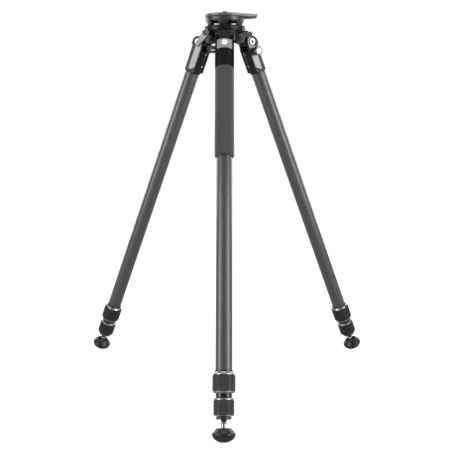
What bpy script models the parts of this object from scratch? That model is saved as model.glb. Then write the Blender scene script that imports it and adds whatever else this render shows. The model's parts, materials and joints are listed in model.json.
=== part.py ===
"""A three-leg camera tripod with a levelling half-ball platform.

Sizes are in millimetres and are scaled to metres where a mesh or a place is made. +Z is up, one leg points
to -Y, and the origin is on the floor at the centre of the tripod's bounding box.
Each leg is built in its own frame: X along its hinge, -Y outwards, +Z up the tube, origin on the hinge.
"""

import math

import bmesh
import bpy
from mathutils import Matrix, Vector

MM = 0.001
GAP = 0.3

# Stance
LEG_NAMES = {"front": -90.0, "left": 150.0, "right": 30.0}
LEG_TILT = 22.87
HINGE_RADIUS = 55.6
HINGE_TO_FOOT = 761.8
FOOT_DROP = 14.75
HINGE_HEIGHT = FOOT_DROP + HINGE_TO_FOOT * math.cos(math.radians(LEG_TILT))

# Leg sections, as outer and inner radii
UPPER_TUBE = (15.0, 13.6)
MIDDLE_TUBE = (13.0, 11.6)
LOWER_TUBE = (11.0, 9.6)
SLEEVE_RADIUS = 18.7
ROUND_STEPS = 20

# Leg shoulder
SHOULDER_BOTTOM = 695.0
BARREL_RADIUS = 17.0
HALF_WIDTH = 19.0
PLATE_INNER = 15.2
FORK_INNER = 13.1
FORK_FLOOR = -15.8
EYE_RADIUS = 12.5
PLATE_LOW = -64.8
PLATE_SIDES = (-9.0, 14.0)
PANEL_SIDES = (-2.0, 12.4)
TUBE_TOP = 728.0
TAB_TRAVEL = 8.0
TAB_OUTER = 18.9
TAB_INNER = 17.3
TAB_HALF_ANGLE = 54.5
TAB_BOTTOM = -29.9
TAB_TOP = -10.2
PAWL_ROOT = -19.6
SCREW_HEIGHTS = (741.0, 714.0)

# Crown
LUG_HALF_WIDTH = 12.7
BALL_CENTRE = 766.0
BALL_RADIUS = 40.0
BALL_WALL = 4.0
BALL_TOP = 763.1
BALL_FLOOR = 733.0
SEAT_TOP = 745.6
SEAT_BOTTOM = 740.3
SEAT_OUTER = 38.0
BARREL_BOTTOM = 716.0
CROWN_BARREL = 33.0
FLANGE_RADIUS = 42.4
FLANGE_TOP = 746.0
FLANGE_BOTTOM = 736.2
CLAMP_SPHERE = 50.0
ROD_HOLE = 13.6
ROD_RADIUS = 4.0
PORT_OFFSET = -13.0
PORT_HEIGHT = 729.0
PORT_END = 56.2
PORT_ANGLES = (0.0, 120.0, 240.0)
LEVER_PORT = 240.0
LEVER_BASE = 49.2
LEVER_TURN = -43.5
WINDOW_WIDTH = 21.0
WINDOW_BOTTOM = 745.9
WINDOW_TOP = 756.4
WINDOW_TURN = -125.2

# Platform
PLATE_RADIUS = 40.8
PLATE_BOTTOM = 763.5
PLATE_TOP = 770.0
NOSE_REACH = 66.8
SCREW_RADIUS = 4.7
SCREW_TOP = 777.4
LEVEL_X = 50.0


def material(name, colour, roughness, metallic=0.0):
    made = bpy.data.materials.new(name)
    made.use_nodes = True
    shader = made.node_tree.nodes["Principled BSDF"]
    shader.inputs["Base Color"].default_value = (*colour, 1.0)
    shader.inputs["Roughness"].default_value = roughness
    shader.inputs["Metallic"].default_value = metallic
    return made


def arc(radius, start, end, steps, centre=(0.0, 0.0)):
    """Points on a circle from one angle to another, in degrees, both ends included."""
    points = []
    for step in range(steps + 1):
        angle = math.radians(start + (end - start) * step / steps)
        points.append((centre[0] + radius * math.cos(angle), centre[1] + radius * math.sin(angle)))
    return points


def finished(bm, name):
    """Turns a bmesh in millimetres into a mesh in metres, with its faces pointing out."""
    bmesh.ops.remove_doubles(bm, verts=bm.verts, dist=0.0001)
    bmesh.ops.recalc_face_normals(bm, faces=bm.faces)
    bmesh.ops.scale(bm, vec=(MM, MM, MM), verts=bm.verts)
    mesh = bpy.data.meshes.new(name)
    bm.to_mesh(mesh)
    bm.free()
    return mesh


def turned(name, profile, steps=ROUND_STEPS):
    """A solid of revolution about Z. Its outline is closed by the axis, or is a ring clear of it."""
    bm = bmesh.new()
    points = [bm.verts.new((radius, 0.0, height)) for radius, height in profile]
    edges = [bm.edges.new(pair) for pair in zip(points, points[1:])]
    if profile[0][0] > 0:
        edges.append(bm.edges.new((points[-1], points[0])))
    full_turn = 2 * math.pi
    bmesh.ops.spin(bm, geom=points + edges, cent=(0, 0, 0), axis=(0, 0, 1), angle=full_turn, steps=steps)
    return finished(bm, name)


def extruded(name, outline, low, high, along="Z"):
    """A flat outline pushed from low to high along X, Y or Z. The outline's points are the other two axes."""
    places = {
        "X": lambda a, b: (low, a, b),
        "Y": lambda a, b: (a, low, b),
        "Z": lambda a, b: (a, b, low),
    }
    pushes = {"X": (high - low, 0, 0), "Y": (0, high - low, 0), "Z": (0, 0, high - low)}
    bm = bmesh.new()
    face = bm.faces.new([bm.verts.new(places[along](a, b)) for a, b in outline])
    pushed = bmesh.ops.extrude_face_region(bm, geom=[face])["geom"]
    moving = [item for item in pushed if isinstance(item, bmesh.types.BMVert)]
    bmesh.ops.translate(bm, vec=pushes[along], verts=moving)
    return finished(bm, name)


def helper(mesh, place=None):
    """A hidden object for a Boolean, placed in millimetres."""
    tool = bpy.data.objects.new("tool_" + mesh.name, mesh)
    bpy.context.scene.collection.objects.link(tool)
    tool.hide_render = True
    tool.display_type = "WIRE"
    if place is not None:
        moved = place.copy()
        moved.translation *= MM
        tool.matrix_world = moved
    return tool


def combined(name, base, added=(), removed=()):
    """Joins meshes to a base, cuts others from it, and returns the result as one mesh."""
    body = helper(base)
    tools = [body]
    for operation, meshes in (("UNION", added), ("DIFFERENCE", removed)):
        for item in meshes:
            mesh, place = item if isinstance(item, tuple) else (item, None)
            tool = helper(mesh, place)
            tools.append(tool)
            step = body.modifiers.new(mesh.name, "BOOLEAN")
            step.operation = operation
            step.object = tool
    bpy.context.view_layer.update()
    graph = bpy.context.evaluated_depsgraph_get()
    result = bpy.data.meshes.new_from_object(body.evaluated_get(graph))
    result.name = name
    for tool in tools:
        bpy.data.objects.remove(tool)
    return result


def add_node(name, mesh, surface, parent, place=(0, 0, 0), turn=(0, 0, 0), sharp=35):
    """One named piece of the tripod, on its parent. Its place is in millimetres and its turn in degrees."""
    own = mesh.copy()
    own.name = name
    own.materials.clear()
    own.materials.append(surface)
    own.shade_smooth()
    own.set_sharp_from_angle(angle=math.radians(sharp))
    piece = bpy.data.objects.new(name, own)
    bpy.context.scene.collection.objects.link(piece)
    piece.parent = parent
    piece.location = Vector(place) * MM
    piece.rotation_euler = [math.radians(angle) for angle in turn]
    return piece


def add_empty(name, parent, place=(0, 0, 0), turn=(0, 0, 0)):
    empty = bpy.data.objects.new(name, None)
    bpy.context.scene.collection.objects.link(empty)
    empty.parent = parent
    empty.location = Vector(place) * MM
    empty.rotation_euler = [math.radians(angle) for angle in turn]
    return empty


def up_leg(height_above_foot):
    """A distance up the tube from the foot's centre, as a height in the leg's own frame."""
    return height_above_foot - HINGE_TO_FOOT


def tube_ring(name, radii, low, high):
    outer, inner = radii
    profile = [(outer, up_leg(high)), (outer, up_leg(low)), (inner, up_leg(low)), (inner, up_leg(high))]
    return turned(name, profile)


def leg_profile(points):
    return [(radius, up_leg(height)) for radius, height in points]


def side_plate_outline():
    """The shoulder's side plate seen along the hinge: an eye round the hinge over a long plate."""
    nose = 2.5
    outer, inner = PLATE_SIDES
    return [
        (outer + nose, PLATE_LOW),
        (outer, PLATE_LOW + nose),
        (outer, -14.0),
        *arc(EYE_RADIUS, 215, -20, 12),
        (inner, -12.0),
        (inner, PLATE_LOW + nose),
        (inner - nose, PLATE_LOW),
    ]


def side_panel_outline():
    """The shallow panel in the side plate: it runs from the eye's inner half to a slanting foot."""
    outer, inner = PANEL_SIDES
    return [
        (3.0, PLATE_LOW + 4.8),
        (outer, PLATE_LOW + 6.8),
        *arc(EYE_RADIUS - 1.4, 100, -20, 7),
        (inner, -12.0),
        (inner, PLATE_LOW + 13.3),
    ]


def tab_band(outer, inner, half_angle):
    middle = -90
    outside = arc(outer, middle - half_angle, middle + half_angle, 12)
    inside = arc(inner, middle + half_angle, middle - half_angle, 12)
    return outside + inside


def shoulder_mesh():
    """The casting that holds the tube, forks round the crown's lug and carries the angle-lock tab."""
    bottom = up_leg(SHOULDER_BOTTOM)
    barrel = turned("barrel", [(0, FORK_FLOOR), (BARREL_RADIUS, FORK_FLOOR), (BARREL_RADIUS, bottom + 0.8),
                               (BARREL_RADIUS - 0.8, bottom), (0, bottom)], 28)
    plate = side_plate_outline()
    eye_pad = [*arc(EYE_RADIUS - 0.5, 215, -20, 12), (10.0, -19.0), (-9.0, -19.0)]
    added = [
        extruded("plate_a", plate, PLATE_INNER - 0.6, HALF_WIDTH, "X"),
        extruded("plate_b", plate, -HALF_WIDTH, -PLATE_INNER + 0.6, "X"),
        extruded("pad_a", eye_pad, FORK_INNER, PLATE_INNER, "X"),
        extruded("pad_b", eye_pad, -PLATE_INNER, -FORK_INNER, "X"),
    ]
    panel = side_panel_outline()
    panel_depth = 0.8
    beyond = HALF_WIDTH + 5
    bore = turned("bore", [(0, up_leg(TUBE_TOP) + 0.4), (15.3, up_leg(TUBE_TOP) + 0.4), (15.3, bottom - 9),
                           (0, bottom - 9)])
    pin_hole = turned("pin_hole", [(0, beyond), (4.3, beyond), (4.3, -beyond), (0, -beyond)], 16)
    recess = [(0, beyond), (8.3, beyond), (8.3, HALF_WIDTH - 1.9), (0, HALF_WIDTH - 1.9)]
    sideways = Matrix.Rotation(math.radians(90), 4, "Y")
    other_way = Matrix.Rotation(math.radians(-90), 4, "Y")
    pocket = [(-11.8, -19.0), (11.8, -19.0), (11.8, -11.3), (-11.8, -11.3)]
    removed = [
        extruded("panel_a", panel, HALF_WIDTH - panel_depth, beyond, "X"),
        extruded("panel_b", panel, -beyond, panel_depth - HALF_WIDTH, "X"),
        bore,
        (pin_hole, sideways),
        (turned("recess", recess, 20), sideways),
        (turned("recess_b", recess, 20), other_way),
        extruded("pawl_pocket", pocket, PAWL_ROOT - TAB_TRAVEL - 1, FORK_FLOOR + 1),
    ]
    for height in SCREW_HEIGHTS:
        hole = turned("screw_hole", [(0, 3), (1.9, 3), (1.9, -1.35), (0, -1.35)], 10)
        inward = Matrix.Translation((0, BARREL_RADIUS, up_leg(height))) @ Matrix.Rotation(
            math.radians(-90), 4, "X")
        removed.append((hole, inward))
    return combined("shoulder", barrel, added, removed)


def lug_outline():
    """A crown lug seen along its hinge, as distance outwards and height from the hinge: stepped stops on top."""
    eye = 11.0
    return [
        (-30.0, 22.6), (-4.6, 22.6), (-4.6, 20.6), (2.4, 20.6), (2.4, 17.0), (7.6, 17.0), (7.6, 13.8),
        (11.2, 13.8), (12.5, 12.4), (12.5, 6.9), (10.4, 5.9),
        *arc(eye, 20, -150, 10),
        (-30.0, -0.6),
    ]


def port_place():
    """The frame of the boss that faces +X: its Z runs out along the boss."""
    return Matrix.Translation((0, PORT_OFFSET, PORT_HEIGHT)) @ Matrix.Rotation(math.radians(90), 4, "Y")


def crown_mesh():
    """The casting in the middle: a flanged bowl seat with three lugs and three side bosses."""
    ball = BALL_CENTRE
    cavity = BALL_RADIUS + 1.0
    under = [(CLAMP_SPHERE * math.sin(math.radians(a)), ball - CLAMP_SPHERE * math.cos(math.radians(a)))
             for a in (15.78, 22.0, 28.5, 34.5)]
    inside = [(cavity * math.sin(math.radians(a)), ball - cavity * math.cos(math.radians(a)))
              for a in (51.0, 42.0, 33.0, 25.0, 19.37)]
    profile = [
        *under, (29.6, BARREL_BOTTOM), (CROWN_BARREL, BARREL_BOTTOM), (CROWN_BARREL, FLANGE_BOTTOM),
        (FLANGE_RADIUS, FLANGE_BOTTOM), (FLANGE_RADIUS, 739.2), (41.7, 739.5), (41.7, 740.6),
        (FLANGE_RADIUS, 740.9), (FLANGE_RADIUS, 743.2), (41.6, 743.6), (41.6, FLANGE_TOP),
        (SEAT_OUTER + GAP, FLANGE_TOP), (SEAT_OUTER + GAP, SEAT_BOTTOM - GAP), *inside,
    ]
    bowl = turned("bowl", profile, 36)
    added = []
    removed = []
    for azimuth in LEG_NAMES.values():
        turn = Matrix.Rotation(math.radians(azimuth + 90), 4, "Z")
        outline = [(-HINGE_RADIUS - out, HINGE_HEIGHT + up) for out, up in lug_outline()]
        added.append((extruded("lug", outline, -LUG_HALF_WIDTH, LUG_HALF_WIDTH, "X"), turn))
        bore = turned("lug_bore", [(0, 30), (4.3, 30), (4.3, -30), (0, -30)], 16)
        hinge = Matrix.Translation((0, -HINGE_RADIUS, HINGE_HEIGHT)) @ Matrix.Rotation(math.radians(90), 4, "Y")
        removed.append((bore, turn @ hinge))
    for angle in PORT_ANGLES:
        port = Matrix.Rotation(math.radians(angle), 4, "Z") @ port_place()
        has_lever = angle == LEVER_PORT
        end = LEVER_BASE if has_lever else PORT_END
        hole_radius, depth = (3.3, 8.0) if has_lever else (4.0, 3.7)
        boss = turned("boss", [(0, end), (4.9, end), (5.3, end - 0.5), (5.3, 29), (0, 29)], 18)
        hole = turned("port", [(0, end + 5), (hole_radius, end + 5), (hole_radius, end - depth),
                               (0, end - depth)], 14)
        added.append((boss, port))
        removed.append((hole, port))
    # The lugs and bosses start inside the bowl's wall, so the ball's space is cut again after they are joined.
    clear = [(0, 760), (SEAT_OUTER + GAP, 760), (SEAT_OUTER + GAP, SEAT_BOTTOM - GAP), *inside,
             (ROD_HOLE, 700), (0, 700)]
    cup_space = [(0, 727.0), *[p for p in under[1:]], (29.6, 700), (0, 700)]
    removed.append(turned("ball_space", clear, 36))
    removed.append(turned("cup_space", cup_space, 36))
    return combined("crown", bowl, added, removed)


def half_ball_mesh():
    """The windowed half-ball that the platform stands on."""
    def on_sphere(radius, height):
        return (math.sqrt(radius ** 2 - (BALL_CENTRE - height) ** 2), height)

    inner = BALL_RADIUS - BALL_WALL
    floor_top = BALL_FLOOR + 4.0
    outside = [on_sphere(BALL_RADIUS, h) for h in (BALL_FLOOR, 737.5, 742.5, 748.0, 755.5, BALL_TOP)]
    inside = [on_sphere(inner, h) for h in (BALL_TOP, 755.5, 748.0, 742.0, floor_top)]
    bore = ROD_RADIUS + GAP
    boss = [(10.0, floor_top), (10.0, floor_top + 4.0), (bore, floor_top + 4.0), (bore, BALL_FLOOR)]
    shell = turned("shell", outside + inside + boss, 36)
    half = WINDOW_WIDTH / 2
    corner = 3.0
    right = arc(corner, 0, 90, 3, (half - corner, WINDOW_TOP - corner))
    left = arc(corner, 90, 180, 3, (corner - half, WINDOW_TOP - corner))
    outline = [(-half, WINDOW_BOTTOM), (half, WINDOW_BOTTOM), *right, *left]
    cutters = []
    for turn in (0, 60, 120):
        window = extruded("window", outline, -50, 50, "Y")
        cutters.append((window, Matrix.Rotation(math.radians(WINDOW_TURN + 90 + turn), 4, "Z")))
    return combined("half_ball", shell, removed=cutters)


def platform_outline():
    """The teardrop plate from above: a disc whose sides run on to a blunt nose at +X."""
    tangent = 55
    corner = 6.0
    nose_half = 12.4
    disc = arc(PLATE_RADIUS, tangent, 360 - tangent, 28)
    lower = arc(corner, -62, 0, 4, (NOSE_REACH - corner, -nose_half + corner))
    upper = arc(corner, 0, 62, 4, (NOSE_REACH - corner, nose_half - corner))
    return disc + lower + upper


def inset_outline(points, distance):
    """Moves each point of a counter-clockwise outline inwards, along the middle of its two edges."""
    moved = []
    count = len(points)
    for index, point in enumerate(points):
        before = Vector(points[index - 1])
        here = Vector(point)
        after = Vector(points[(index + 1) % count])
        first = (here - before).normalized()
        second = (after - here).normalized()
        bisector = Vector((-first.y - second.y, first.x + second.x)).normalized()
        spread = max(0.3, bisector.dot(Vector((-first.y, first.x))))
        moved.append(tuple(here + bisector * distance / spread))
    return moved


def platform_mesh():
    outline = platform_outline()
    chamfer = 0.9
    under_chamfer = 2.2
    rings = [
        (inset_outline(outline, under_chamfer), PLATE_BOTTOM),
        (outline, PLATE_BOTTOM + under_chamfer),
        (outline, PLATE_TOP - chamfer),
        (inset_outline(outline, chamfer), PLATE_TOP),
    ]
    bm = bmesh.new()
    loops = [[bm.verts.new((x, y, height)) for x, y in ring] for ring, height in rings]
    count = len(outline)
    for lower, upper in zip(loops, loops[1:]):
        for index in range(count):
            following = (index + 1) % count
            bm.faces.new((lower[index], lower[following], upper[following], upper[index]))
    bm.faces.new(loops[-1])
    bm.faces.new(list(reversed(loops[0])))
    plate = finished(bm, "plate")
    hole_radius = SCREW_RADIUS + GAP
    hole = turned("screw_hole", [(0, 780), (hole_radius, 780), (hole_radius, 750), (0, 750)], 20)
    pocket_radius = 7.6
    pocket = turned("level_pocket", [(0, 780), (pocket_radius, 780), (pocket_radius, 765.4), (0, 765.4)], 20)
    return combined("platform", plate, removed=[hole, (pocket, Matrix.Translation((LEVEL_X, 0, 0)))])


def lever_outline():
    """The clamp lever seen from outside: a round hub with a tapering arm to a rounded tip."""
    hub = 7.6
    tip = 4.6
    length = 29.4
    tip_arc = arc(tip, -84, 84, 6, (length, 0))
    hub_arc = arc(hub, 84, 276, 14)
    return tip_arc + hub_arc


def handle_outline():
    """The clamp handle from the front: a slotted loop of bar reaching out to -X."""
    top = 706.7
    bottom = 692.3
    reach = -37.0
    corner = 6.0
    upper_corner = arc(corner, 90, 180, 4, (reach + corner, top - corner))
    lower_corner = arc(corner, 180, 270, 4, (reach + corner, bottom + corner))
    return [(7.0, bottom), (7.0, top), *upper_corner, *lower_corner]


def handle_mesh():
    half_depth = 5.5
    arm = extruded("arm", handle_outline(), -half_depth, half_depth, "Y")
    hub = turned("hub", [(0, 709.0), (9.0, 709.0), (10.0, 708.0), (10.0, 691.6), (9.0, 690.6), (0, 690.6)])
    slot = extruded("slot", [(-33.0, 697.3), (-12.0, 697.3), (-12.0, 699.5), (-33.0, 699.5)], -10, 10, "Y")
    bore_radius = ROD_RADIUS + GAP
    bore = turned("bore", [(0, 720), (bore_radius, 720), (bore_radius, 694.4), (0, 694.4)], 16)
    return combined("clamp_handle", arm, added=[hub], removed=[slot, bore])


def tab_mesh():
    """The angle-lock tab: a curved plate on the shoulder's front with a pawl reaching under the lug."""
    plate = extruded("plate", tab_band(TAB_OUTER, TAB_INNER, TAB_HALF_ANGLE), TAB_BOTTOM, TAB_TOP)
    half_width = 11.2
    root_outline = [*arc(TAB_OUTER - 1.1, -128, -52, 8), (half_width - 0.2, -12.3), (0.2 - half_width, -12.3)]
    root = extruded("pawl_root", root_outline, PAWL_ROOT, TAB_TOP + 0.9)
    pawl_low = TAB_TOP + GAP
    pawl_outline = [(-17.9, pawl_low), (-12.1, pawl_low), (-12.1, 1.0), (-16.2, 1.0), (-17.9, -1.5)]
    pawl = extruded("pawl", pawl_outline, -half_width, half_width, "X")
    return combined("lock_tab", plate, added=[root, pawl])


def leg_meshes():
    """Every piece that the three legs share, in the leg's own frame."""
    eye = HALF_WIDTH + 0.5
    head = eye - 2.0
    bolt = [(0, eye - 2.2), (2.2, eye - 2.2), (2.2, eye), (6.6, eye), (7.0, eye - 0.4), (7.0, head),
            (4.0, head), (4.0, -head), (7.0, -head), (7.0, 0.4 - eye), (6.6, -eye), (2.2, -eye),
            (2.2, 2.2 - eye), (0, 2.2 - eye)]
    upper_collar = [(15.2, 106.0), (15.8, 106.0), (18.2, 102.4), (18.2, 100.3), (16.5, 100.3), (16.5, 73.2),
                    (15.2, 73.2)]
    upper_lock = [(16.9, 99.9), (20.1, 99.9), (20.45, 99.3), (20.45, 73.2), (20.1, 72.6), (19.4, 72.4),
                  (19.2, 71.2), (17.0, 68.5), (13.5, 68.2), (13.5, 72.8), (16.9, 72.8)]
    lower_collar = [(13.2, 67.6), (14.4, 67.6), (14.4, 61.4), (17.2, 60.0), (17.2, 57.1), (14.5, 57.1),
                    (14.5, 44.2), (13.2, 44.2)]
    lower_lock = [(14.9, 56.7), (18.0, 56.7), (18.35, 56.2), (18.35, 32.7), (18.0, 32.2), (17.6, 32.0),
                  (17.4, 31.0), (15.4, 29.4), (11.5, 29.4), (11.5, 43.8), (14.9, 43.8)]
    end_cap = [(11.3, 28.9), (13.35, 28.9), (13.35, 25.2), (12.6, 24.2), (4.5, 24.2), (4.5, 25.4),
               (11.3, 25.4)]
    stud = [(0, 26.5), (4.1, 26.5), (4.1, 19.8), (5.6, 19.8), (5.2, 18.2), (4.3, 16.6), (4.3, 1.2), (0, 1.2)]
    foot = [(0, 0.8), (4.7, 0.8), (4.7, 10.0), (12.4, 10.0), (13.3, 9.2), (20.3, 1.4), (20.65, 0.0),
            (20.2, -1.9), (17.0, -6.6), (12.6, -10.3), (7.0, -13.0), (0, -14.0)]
    screw = [(0, 2.1), (1.3, 2.1), (2.8, 1.3), (2.8, 0.3), (1.5, 0.3), (1.5, -1.0), (0, -1.0)]
    return {
        "shoulder": shoulder_mesh(),
        "hinge_bolt": turned("hinge_bolt", bolt, 18),
        "lock_tab": tab_mesh(),
        "screw": turned("screw", screw, 12),
        "upper_tube": tube_ring("upper_tube", UPPER_TUBE, 74.8, TUBE_TOP),
        "upper_collar": turned("upper_collar", leg_profile(upper_collar)),
        "upper_lock": turned("upper_lock", leg_profile(upper_lock)),
        "middle_tube": tube_ring("middle_tube", MIDDLE_TUBE, 45.6, 690.0),
        "lower_collar": turned("lower_collar", leg_profile(lower_collar)),
        "lower_lock": turned("lower_lock", leg_profile(lower_lock)),
        "lower_tube": tube_ring("lower_tube", LOWER_TUBE, 25.8, 655.0),
        "end_cap": turned("end_cap", leg_profile(end_cap)),
        "foot_stud": turned("foot_stud", leg_profile(stud), 16),
        "rubber_foot": turned("rubber_foot", leg_profile(foot), 24),
    }


def make_legs(root, surfaces):
    """Adds the three legs and returns the empties that hold them, by name."""
    shared = leg_meshes()
    looks = {
        "shoulder": "black_casting", "hinge_bolt": "chrome", "lock_tab": "gunmetal",
        "upper_tube": "carbon", "upper_collar": "silver", "upper_lock": "grip_rubber",
        "middle_tube": "carbon", "lower_collar": "silver", "lower_lock": "grip_rubber",
        "lower_tube": "carbon", "end_cap": "black_plastic", "foot_stud": "chrome",
        "rubber_foot": "foot_rubber",
    }
    legs = {}
    for leg, azimuth in LEG_NAMES.items():
        angle = math.radians(azimuth)
        hinge = (HINGE_RADIUS * math.cos(angle), HINGE_RADIUS * math.sin(angle), HINGE_HEIGHT)
        frame = add_empty(f"{leg}_leg_hinge", root, hinge, (-LEG_TILT, 0, azimuth + 90))
        legs[leg] = frame
        for piece, look in looks.items():
            turn = (0, 90, 0) if piece == "hinge_bolt" else (0, 0, 0)
            add_node(f"{leg}_{piece}", shared[piece], surfaces[look], frame, turn=turn)
        for label, height in zip(("upper", "lower"), SCREW_HEIGHTS):
            place = (0, BARREL_RADIUS, up_leg(height))
            add_node(f"{leg}_{label}_screw", shared["screw"], surfaces["chrome"], frame, place, (-90, 0, 0))
    return legs


def add_leg_extras(legs, surfaces):
    """The foam sleeve on the front leg and the side knob on the right one."""
    sleeve = [(15.4, 694.6), (SLEEVE_RADIUS - 0.8, 694.6), (SLEEVE_RADIUS, 693.6), (SLEEVE_RADIUS, 509.4),
              (SLEEVE_RADIUS - 0.8, 508.3), (15.4, 508.3)]
    add_node("foam_sleeve", turned("foam_sleeve", leg_profile(sleeve), 24), surfaces["foam"], legs["front"])
    face = HALF_WIDTH - 0.5
    body = [(0, face + 11.8), (7.9, face + 11.8), (8.3, face + 11.4), (8.3, face + 1.4), (7.6, face + 0.8),
            (0, face + 0.8)]
    cap = [(0, face + 20.0), (5.6, face + 19.8), (8.4, face + 18.6), (9.4, face + 16.6), (9.4, face + 12.5),
           (9.0, face + 12.1), (0, face + 12.1)]
    place = (0, 3.0, -20.6)
    turn = (0, -90, 0)
    add_node("side_knob", turned("side_knob", body), surfaces["black_plastic"], legs["right"], place, turn)
    add_node("side_knob_cap", turned("side_knob_cap", cap), surfaces["silver"], legs["right"], place, turn)


def make_crown(root, surfaces):
    """The middle casting, the seat ring, the side lever, and everything that tilts with the half-ball."""
    add_node("crown", crown_mesh(), surfaces["black_casting"], root)
    seat = [(34.75, SEAT_TOP), (31.45, SEAT_BOTTOM), (SEAT_OUTER, SEAT_BOTTOM), (SEAT_OUTER, SEAT_TOP)]
    add_node("seat_ring", turned("seat_ring", seat, 36), surfaces["nylon"], root)
    ball = add_empty("ball_centre", root, (0, 0, BALL_CENTRE))
    down = (0, 0, -BALL_CENTRE)
    add_node("half_ball", half_ball_mesh(), surfaces["dark_aluminium"], ball, down)
    add_node("platform", platform_mesh(), surfaces["dark_aluminium"], ball, down)
    screw = [(0, SCREW_TOP), (3.9, SCREW_TOP), (SCREW_RADIUS, SCREW_TOP - 0.8), (SCREW_RADIUS, 763.1),
             (12.0, 763.1), (12.0, 757.6), (11.4, 757.0), (0, 757.0)]
    add_node("camera_screw", turned("camera_screw", screw), surfaces["silver"], ball, down)
    vial = [(0, 769.4), (5.0, 769.2), (7.2, 768.6), (7.2, 765.8), (0, 765.8)]
    add_node("bubble_level", turned("bubble_level", vial), surfaces["level"], ball,
             (LEVEL_X, 0, -BALL_CENTRE))
    rod = [(0, 740.6), (ROD_RADIUS, 740.6), (ROD_RADIUS, 694.8), (0, 694.8)]
    add_node("tie_rod", turned("tie_rod", rod, 16), surfaces["silver"], ball, down)
    sphere = CLAMP_SPHERE + 0.4
    top = [(sphere * math.sin(math.radians(a)), BALL_CENTRE - sphere * math.cos(math.radians(a)))
           for a in (22.4, 18.0, 13.0, 9.0, 4.95)]
    cup = [(4.35, 711.4), (16.0, 711.4), (19.2, 717.0), *top]
    add_node("clamp_cup", turned("clamp_cup", cup), surfaces["black_plastic"], ball, down)
    add_node("clamp_handle", handle_mesh(), surfaces["grey_casting"], ball, down)
    port = add_empty("lever_port", root, turn=(0, 0, LEVER_PORT))
    axis = add_empty("lever_axis", port, (LEVER_BASE + GAP, PORT_OFFSET, PORT_HEIGHT), (0, 90, 0))
    thickness = 6.6
    arm = extruded("arm", lever_outline(), 0, thickness)
    socket = turned("socket", [(0, 20), (5.3, 20), (5.3, 3.4), (0, 3.4)], 18)
    through = turned("through", [(0, 20), (3.3, 20), (3.3, -5), (0, -5)], 14)
    lever = combined("side_lever", arm, removed=[socket, through])
    add_node("side_lever", lever, surfaces["grey_casting"], axis, turn=(0, 0, LEVER_TURN))
    screw = [(0, 5.6), (2.0, 5.6), (2.0, 6.4), (4.4, 6.4), (4.9, 5.9), (4.9, 3.7), (3.0, 3.7), (3.0, -7.6),
             (0, -7.6)]
    add_node("side_lever_screw", turned("side_lever_screw", screw, 16), surfaces["chrome"], axis)


def make_surfaces():
    return {
        "black_casting": material("black_casting", (0.012, 0.012, 0.013), 0.35, 0.4),
        "dark_aluminium": material("dark_aluminium", (0.035, 0.036, 0.038), 0.4, 0.7),
        "grey_casting": material("grey_casting", (0.16, 0.16, 0.165), 0.45, 0.6),
        "gunmetal": material("gunmetal", (0.2, 0.2, 0.21), 0.35, 0.8),
        "chrome": material("chrome", (0.8, 0.8, 0.8), 0.12, 1.0),
        "silver": material("silver", (0.6, 0.6, 0.6), 0.25, 1.0),
        "carbon": material("carbon", (0.03, 0.03, 0.032), 0.4),
        "foam": material("foam", (0.045, 0.045, 0.047), 0.9),
        "grip_rubber": material("grip_rubber", (0.015, 0.015, 0.016), 0.7),
        "foot_rubber": material("foot_rubber", (0.02, 0.02, 0.021), 0.75),
        "black_plastic": material("black_plastic", (0.012, 0.012, 0.013), 0.5),
        "nylon": material("nylon", (0.02, 0.02, 0.02), 0.55),
        "level": material("level", (0.45, 0.62, 0.2), 0.1),
    }


def centre_on_floor(root):
    """Moves the whole tripod so that the middle of its bounding box's base is the origin."""
    bpy.context.view_layer.update()
    graph = bpy.context.evaluated_depsgraph_get()
    corners = []
    for piece in bpy.context.scene.objects:
        if piece.type == "MESH":
            shape = piece.evaluated_get(graph)
            corners += [shape.matrix_world @ vertex.co for vertex in shape.data.vertices]
    low = [min(corner[axis] for corner in corners) for axis in range(3)]
    high = [max(corner[axis] for corner in corners) for axis in range(3)]
    root.location = (-(low[0] + high[0]) / 2, -(low[1] + high[1]) / 2, -low[2])


def main():
    for leftover in list(bpy.data.objects):
        bpy.data.objects.remove(leftover)
    surfaces = make_surfaces()
    root = add_empty("tripod", None)
    legs = make_legs(root, surfaces)
    add_leg_extras(legs, surfaces)
    make_crown(root, surfaces)
    centre_on_floor(root)


main()
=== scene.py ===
"""The looks of the levelling tripod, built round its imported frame.

Sizes are in millimetres and are scaled to metres where a mesh is made. A leg's pieces are made in
the leg's own frame: X along its hinge, -Y outwards, +Z up the tube, origin on the hinge. The centre's
pieces are made about the tripod's upright axis, with heights above the floor.
"""
import json
import math

import bmesh
import bpy
from mathutils import Matrix, Vector


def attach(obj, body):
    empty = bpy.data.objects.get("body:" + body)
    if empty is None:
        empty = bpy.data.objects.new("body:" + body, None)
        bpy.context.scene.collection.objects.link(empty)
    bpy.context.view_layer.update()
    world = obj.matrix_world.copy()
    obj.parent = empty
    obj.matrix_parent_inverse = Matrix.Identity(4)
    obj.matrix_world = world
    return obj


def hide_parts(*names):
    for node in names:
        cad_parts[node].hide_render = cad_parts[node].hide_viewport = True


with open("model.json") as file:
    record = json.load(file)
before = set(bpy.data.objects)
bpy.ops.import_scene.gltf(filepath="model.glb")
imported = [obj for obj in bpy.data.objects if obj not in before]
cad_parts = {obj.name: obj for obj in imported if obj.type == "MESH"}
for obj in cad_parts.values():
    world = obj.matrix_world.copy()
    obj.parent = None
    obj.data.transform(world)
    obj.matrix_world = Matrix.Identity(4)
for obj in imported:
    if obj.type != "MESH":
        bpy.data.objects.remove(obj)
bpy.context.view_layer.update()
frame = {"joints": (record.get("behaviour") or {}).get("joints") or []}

MM = 0.001
JOINTS = {joint["name"]: joint for joint in frame["joints"]}
LEGS = ("front", "left", "right")
SHARP_ANGLE = math.radians(38)

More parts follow.
